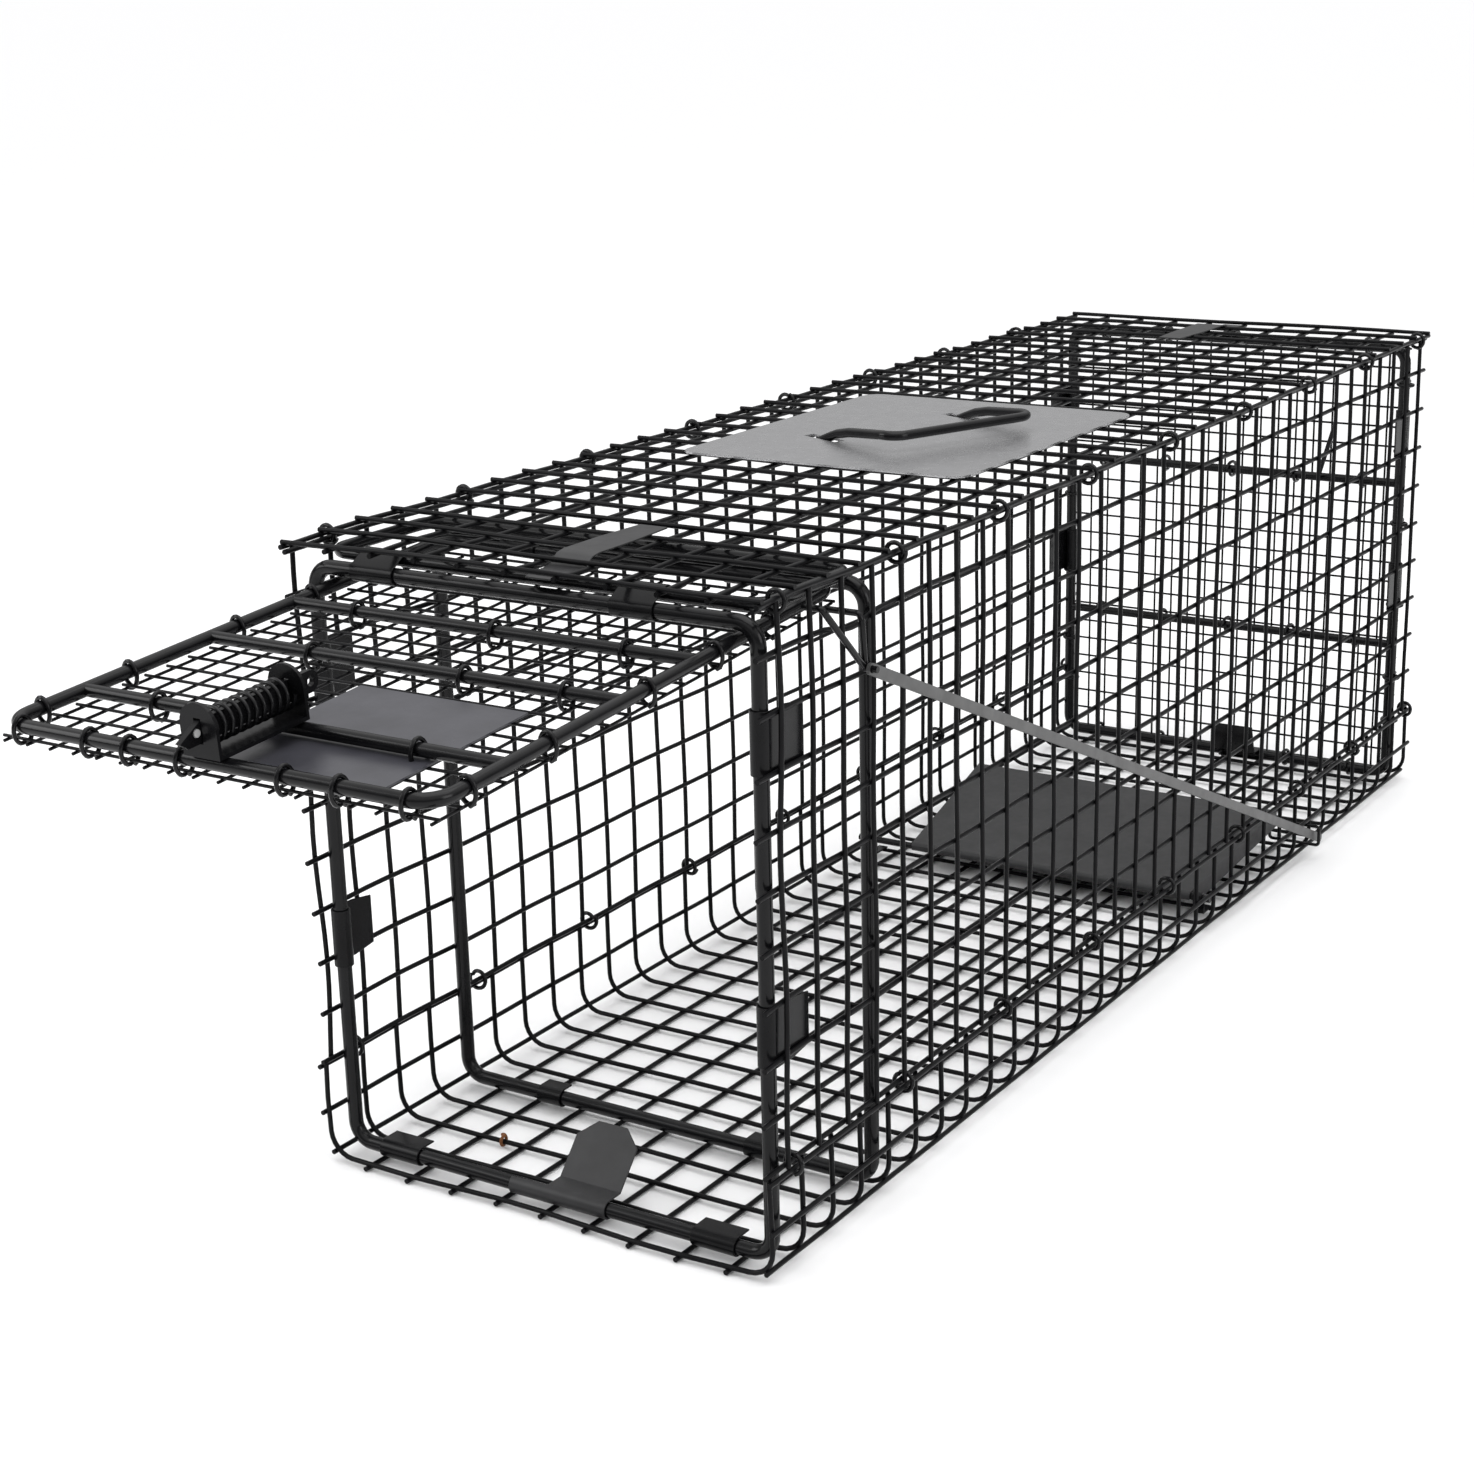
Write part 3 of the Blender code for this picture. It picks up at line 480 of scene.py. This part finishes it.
def build_clips():
    """Sheets rolled round the end frames' posts, each with a flap along the wall."""
    flap = 26 * MM
    for end, y, way in (("front", FRONT_Y, 1), ("rear", REAR_Y, -1)):
        for side, hand in ((-1, "left"), (1, "right")):
            path = roll((POST_X, 0), ROD, 75 * way, 360 * way)
            path += [(path[-1][0], way * flap / 2), (path[-1][0], way * flap)]
            path = [(side * x, place) for x, place in path]
            for height in ("lower", "upper"):
                node = f"{end}_clip_{hand}_{height}"
                low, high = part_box(node)
                spans = [(low[2], high[2])] * (len(path) - 1) + [(low[2] + 2 * MM, high[2] - 2 * MM)]
                sheet(f"{node}_sheet", path, spans, "cage", SHEET_BLACK, [node],
                      Matrix.Translation((0, y, 0)))


def build_latches():
    """Strips that pass up through the top panel over the front and rear hoops, and the rear's bottom clip."""
    under, over = TOP_Z - 4.8 * MM, TOP_Z + 0.7 * MM
    rise, fall = under + 0.8 * MM, over - 0.8 * MM  # where the strip's two bends run out
    front = [(-403, under), (-394, under), (-386, under), (-381, rise), (-376, fall), (-371, over),
             (-345, over), (-316, over)]  # Y in millimetres, and Z
    rear = [(418, under), (405, under), (393, under), (388, rise), (383, fall), (378, over), (345, over),
            (310, over)]
    for node, shape in (("front_top_latch", front), ("rear_top_latch", rear)):
        path = [(y * MM, z) for y, z in shape]
        spans = level(path, node)
        low, high = spans[0]
        spans = [(low + 3 * MM, high - 3 * MM)] + spans[1:-1] + [(low + 2 * MM, high - 2 * MM)]
        sheet(f"{node}_sheet", path, spans, "cage", CHARCOAL, [node], YZ_ALONG_X)
    path = [(2 * REAR_Y - y, z) for y, z in roll((REAR_Y, BOTTOM_BAR_Z), ROD, -40, -270)]
    path += [(REAR_Y - 12 * MM, path[-1][1]), (REAR_Y - 18 * MM, 32 * MM)]
    sheet("rear_bottom_latch_sheet", path, level(path, "rear_bottom_latch"), "cage", SHEET_BLACK,
          ["rear_bottom_latch"], YZ_ALONG_X)


def build_door_sleeves():
    """Sheets rolled round the inner hoop's top bar, which is the hinge, and the door's first rod."""
    path = roll((0, 0), ROD, -60, 150) + roll((-DOOR_START, 0), DOOR_ROD, 90, 290)
    for hand in ("left", "right"):
        node = f"door_hinge_sleeve_{hand}"
        sheet(f"{node}_sheet", path, level(path, node), "door", SHEET_BLACK, [node],
              DOOR @ YZ_ALONG_X)


# ---------------------------------------------------------------- small rods


def build_spring():
    """The coil round the bolt."""
    turns, per_turn = 10, 22
    coil = []
    for i in range(turns * per_turn + 1):
        angle = 2 * math.pi * i / per_turn
        share = i / (turns * per_turn)
        coil.append((BOLT_X + SPRING_RADIUS * math.cos(angle),
                     -(SPRING_FROM + (SPRING_TO - SPRING_FROM) * share),
                     BOLT_Z + SPRING_RADIUS * math.sin(angle)))
    rods("bolt_coil", [coil], SPRING_WIRE, "door", ROD_BLACK, ["bolt_spring"], DOOR, sides=8)


def build_bail():
    """The carrying bail, askew on its plate, with feet turned in under the plate's slots."""
    low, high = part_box("handle_plate")
    hinge = Matrix.Translation((-12 * MM, -53.5 * MM, (low[2] + high[2]) / 2))
    half, far, rise, bend = 47 * MM, 58 * MM, 8.5 * MM, 9 * MM
    askew, radius = math.radians(-22), 2.5 * MM
    foot = [(-8 * MM, 6.5 * MM - half, -4 * MM), (-8 * MM, 1.5 * MM - half, -4 * MM),
            (-6.5 * MM, -half, -3.4 * MM), (-2 * MM, -half, -1 * MM), (6 * MM, -half, 2.1 * MM),
            (12 * MM, -half, 4.2 * MM), (22 * MM, -half, 6.2 * MM)]
    grip = arc((far - bend, bend - half), bend, -90, 0, 10)
    grip += [(x, -y) for x, y in grip[::-1]]
    other = [(x, -y, z) for x, y, z in foot[::-1]]
    path = foot + [(x, y, rise) for x, y in grip] + other
    rods("bail_rod", [path], radius, "handle", ROD_BLACK, ["carry_handle"],
         hinge @ Matrix.Rotation(askew, 4, "Z"), sides=18)


def build_trigger_wires():
    """The hook whose finger stops beside the door's rod, the ring that joins pan and trigger rod, the pan's
    pivot, and the short wire on the rear hoop."""
    low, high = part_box("trigger_hook")
    x, y, z = HOOK_X, PIN_Y, PIN_Z
    hook = [(119 * MM, HOOK_PIVOT_Y, HOOK_PIVOT_Z), (127 * MM, HOOK_PIVOT_Y, HOOK_PIVOT_Z),
            (128.6 * MM, HOOK_PIVOT_Y, HOOK_PIVOT_Z - 0.6 * MM),
            (x, HOOK_PIVOT_Y + 1 * MM, HOOK_PIVOT_Z - 2 * MM),
            (x, y - 2 * MM, z + 2 * MM), (x, y, z), (x, y, z + 3 * MM),
            (x, FINGER_Y, FINGER_Z - 3 * MM), (x - 1 * MM, FINGER_Y, FINGER_Z - 0.6 * MM),
            (x - 2.5 * MM, FINGER_Y, FINGER_Z), (low[0], FINGER_Y, FINGER_Z)]
    shape = bmesh.new()
    sweep(shape, hook, HOOK_WIRE, sides=12)
    sweep(shape, [(x, y, z), (high[0], y, z)], HOOK_WIRE, sides=12)
    piece("trigger_hook_wire", shape, "hook", ROD_BLACK, ["trigger_hook"], sharp=60)
    low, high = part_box("pan_link_ring")
    wire = 1 * MM
    ring_x, ring_y = (low[0] + high[0]) / 2, middle("pan_link_ring", 1)
    loop = [(px + ring_x, ring_y, pz) for px, pz in
            rounded_loop((high[0] - low[0]) / 2 - wire, low[2] + wire, high[2] - wire, 2 * MM, 5)]
    rods("pan_link_wire", [loop], wire, "treadle", ROD_BLACK, ["pan_link_ring"], closed=True,
         sides=10)
    low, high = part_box("pan_pivot_rod")
    ends = [(end, (low[1] + high[1]) / 2, (low[2] + high[2]) / 2) for end in (low[0], high[0])]
    rods("pan_pivot_bar", [ends], 2 * MM, "cage", ROD_BLACK, ["pan_pivot_rod"])
    rear_y = middle("rear_hook_rod", 1)
    rods("rear_hook_wire", [[(64 * MM, rear_y, 8.14 * CELL), (75 * MM, rear_y, 9.65 * CELL)]], HOOK_WIRE,
         "cage", ROD_BLACK, ["rear_hook_rod"])


# ---------------------------------------------------------------- ring clips


def clip_ring(shape, centre, axis, size, turn, wire=RING_WIRE):
    """A ring bent shut round the axis, its ends lapped side by side at the turn angle.

    size is half the ring's width and half its height, from the middle of its wire.
    """
    up = Vector((0, 0, 1)) if axis != "Z" else Vector((0, 1, 0))
    along = Vector({"X": (1, 0, 0), "Y": (0, 1, 0), "Z": (0, 0, 1)}[axis])
    side = along.cross(up)
    steps, lap = 20, 12
    points = []
    for i, (a, b) in enumerate(arc((0, 0), 1, turn, turn + 360 + lap, steps)):
        points.append(Vector(centre) + side * a * size[0] + up * b * size[1]
                      + along * (2.1 * wire * (i / steps - 0.5)))
    sweep(shape, points, wire, sides=8)


def build_seam_rings():
    """Clips along the four long seams, one of them rusty."""
    rng = random.Random(4)
    seams = (("side", SEAM_Z, -1, 0.8), ("side", SEAM_Z, 1, 0.7), ("top", TOP_Z - 4 * MM, -1, 1.1),
             ("top", TOP_Z - 4 * MM, 1, 0.5))
    for seam, z, side, start in seams:
        hand = "left" if side < 0 else "right"
        shape = bmesh.new()
        cell = start
        while cell < CELLS_LONG:
            centre = (side * (HALF_WIDTH - 2 * MM), cell * CELL - HALF_LENGTH, z)
            clip_ring(shape, centre, "Y", (RING_RADIUS, RING_RADIUS), rng.uniform(0, 360))
            cell += RING_PITCH + rng.uniform(-0.15, 0.15)
        nodes = [f"{seam}_seam_ring_{hand}_{number}" for number in (1, 2, 3)]
        piece(f"{seam}_seam_clips_{hand}", shape, "cage", ROD_BLACK, nodes, sharp=60)
    shape = bmesh.new()
    clip_ring(shape, (2.6 * CELL - HALF_WIDTH, FRONT_Y + 1.6 * CELL, 3.6 * MM), "X", (2.6 * MM, 2.6 * MM), 90,
              0.8 * MM)
    piece("rusty_clip", shape, "cage", RUST, sharp=60)


def build_frame_rings():
    """Clips that hold the mesh to the rods of the door and of the rear frame."""
    shape = bmesh.new()
    drop, size = 1.5 * MM, (4.1 * MM, 5.7 * MM)
    wire = 0.95 * MM
    for x in (-98, -61, -40, -12, 38, 64, 96):  # clear of the strike plate when the door is down
        clip_ring(shape, (x * MM, -DOOR_LENGTH, -drop), "X", size, 250, wire)
    for side in (-1, 1):
        for distance in (262, 214, 150, 102, 60):
            clip_ring(shape, (side * DOOR_X, -distance * MM, -drop), "Y", size, 265 + 20 * side, wire)
    for distance, places in zip(DOOR_BARS, ((-70, 5, 72), (-50, 30, 80), (-66, 66))):
        for x in places:
            clip_ring(shape, (x * MM, -distance, -drop), "X", size, 270, wire)
    piece("door_clips", shape, "door", ROD_BLACK, where=DOOR, sharp=60)
    shape = bmesh.new()
    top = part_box("rear_frame")[1][2] - ROD
    back, size = 2.4 * MM, (7 * MM, 4.6 * MM)
    for z in (BOTTOM_BAR_Z, *REAR_BARS_Z, top):
        for x in (-95, -48, 0.5, 46, 92):
            clip_ring(shape, (x * MM, REAR_Y + back, z), "X", size, 0)
    for side in (-1, 1):
        for z in (45, 75, 125, 180, 228, 272):
            clip_ring(shape, (side * POST_X, REAR_Y + back, z * MM), "Z", size[::-1], 90)
    piece("rear_clips", shape, "cage", ROD_BLACK, sharp=60)


# ---------------------------------------------------------------- finishes of the CAD nodes that stay


def finish_nodes():
    """Gives each kept CAD node its paint and the width of its softened edges."""
    finishes = {
        "bolt_bracket": (SHEET_BLACK, 0.35 * MM), "latch_bolt": (SHEET_BLACK, 0.35 * MM),
        "bolt_rivet": (BRIGHT, 0.3 * MM), "door_plate": (DOOR_PLATE, 0.15 * MM),
        "treadle_pan": (CHARCOAL, 0.2 * MM), "handle_plate": (TOP_PLATE, 0.25 * MM),
        "trigger_rod": (STEEL, 0.3 * MM), "pan_pivot_clip_left": (SHEET_BLACK, 0.2 * MM),
        "pan_pivot_clip_right": (SHEET_BLACK, 0.2 * MM),
    }
    for node, (material, width) in finishes.items():
        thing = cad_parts[node]
        for place in range(len(thing.material_slots)):
            thing.material_slots[place].material = material
        soften(thing, width)


# ---------------------------------------------------------------- stage


def area_light(name, place, target, size, power):
    lamp = bpy.data.lights.new(name, "AREA")
    lamp.size = size
    lamp.energy = power
    thing = bpy.data.objects.new(name, lamp)
    bpy.context.scene.collection.objects.link(thing)
    thing.location = place
    thing.rotation_euler = (Vector(target) - Vector(place)).to_track_quat("-Z", "Y").to_euler()


def studio_world():
    """A white dome, bright overhead and dimmer at the sides, so that the black rods show highlights."""
    world = bpy.data.worlds.new("studio")
    world.use_nodes = True
    tree = world.node_tree
    parts = tree.nodes.new("ShaderNodeSeparateXYZ")
    link(tree, tree.nodes.new("ShaderNodeTexCoord").outputs["Generated"], parts.inputs["Vector"])
    height = tree.nodes.new("ShaderNodeMapRange")
    height.interpolation_type = "SMOOTHSTEP"
    height.inputs["From Min"].default_value, height.inputs["From Max"].default_value = 0.15, 0.75
    height.inputs["To Min"].default_value, height.inputs["To Max"].default_value = 0.3, 1.4
    link(tree, parts.outputs["Z"], height.inputs["Value"])
    tree.nodes["Background"].inputs["Color"].default_value = (1, 1, 1, 1)
    link(tree, height.outputs["Result"], tree.nodes["Background"].inputs["Strength"])
    return world


def build_stage():
    """Camera, floor and lights."""
    scene = bpy.context.scene
    lens, roll_angle = 62.77, math.radians(-1.52)
    stand, target = Vector((0.6586, -1.2406, 0.5468)), Vector((-0.1271, -0.0388, 0.1129))
    camera = bpy.data.cameras.new("camera")
    camera.sensor_width = 36
    camera.lens = lens
    view = bpy.data.objects.new("camera", camera)
    scene.collection.objects.link(view)
    view.location = stand
    view.rotation_euler = ((target - stand).to_track_quat("-Z", "Y").to_matrix()
                           @ Matrix.Rotation(roll_angle, 3, "Z")).to_euler()
    scene.camera = view

    shape = bmesh.new()
    bmesh.ops.create_grid(shape, x_segments=1, y_segments=1, size=60)
    mesh = bpy.data.meshes.new("floor")
    shape.to_mesh(mesh)
    shape.free()
    floor = bpy.data.objects.new("floor", mesh)
    scene.collection.objects.link(floor)
    floor.location.z = -0.3 * MM  # just under the lowest wires
    pale = bpy.data.materials.new("pale_floor")
    pale.use_nodes = True
    shader = pale.node_tree.nodes["Principled BSDF"]
    shader.inputs["Base Color"].default_value = (0.9, 0.9, 0.905, 1)
    shader.inputs["Roughness"].default_value = 0.6
    mesh.materials.append(pale)

    scene.world = studio_world()
    scene.view_settings.view_transform = "Standard"
    area_light("overhead", (0.2, -0.2, 1.9), (0, 0, 0), 1.6, 14)
    area_light("left_box", (-1.6, -1.4, 1.1), (0, -0.2, 0.15), 1.0, 12)
    area_light("right_box", (1.9, -0.5, 0.9), (0, 0, 0.15), 0.9, 9)


build_tray()
build_wall("left", -1, 0.2)
build_wall("right", 1, 0.5)
build_top()
build_rear()
build_door_panel()
build_frames()
build_sleeves()
build_strike_plate()
build_clips()
build_latches()
build_door_sleeves()
build_spring()
build_bail()
build_trigger_wires()
build_seam_rings()
build_frame_rings()
finish_nodes()
build_stage()
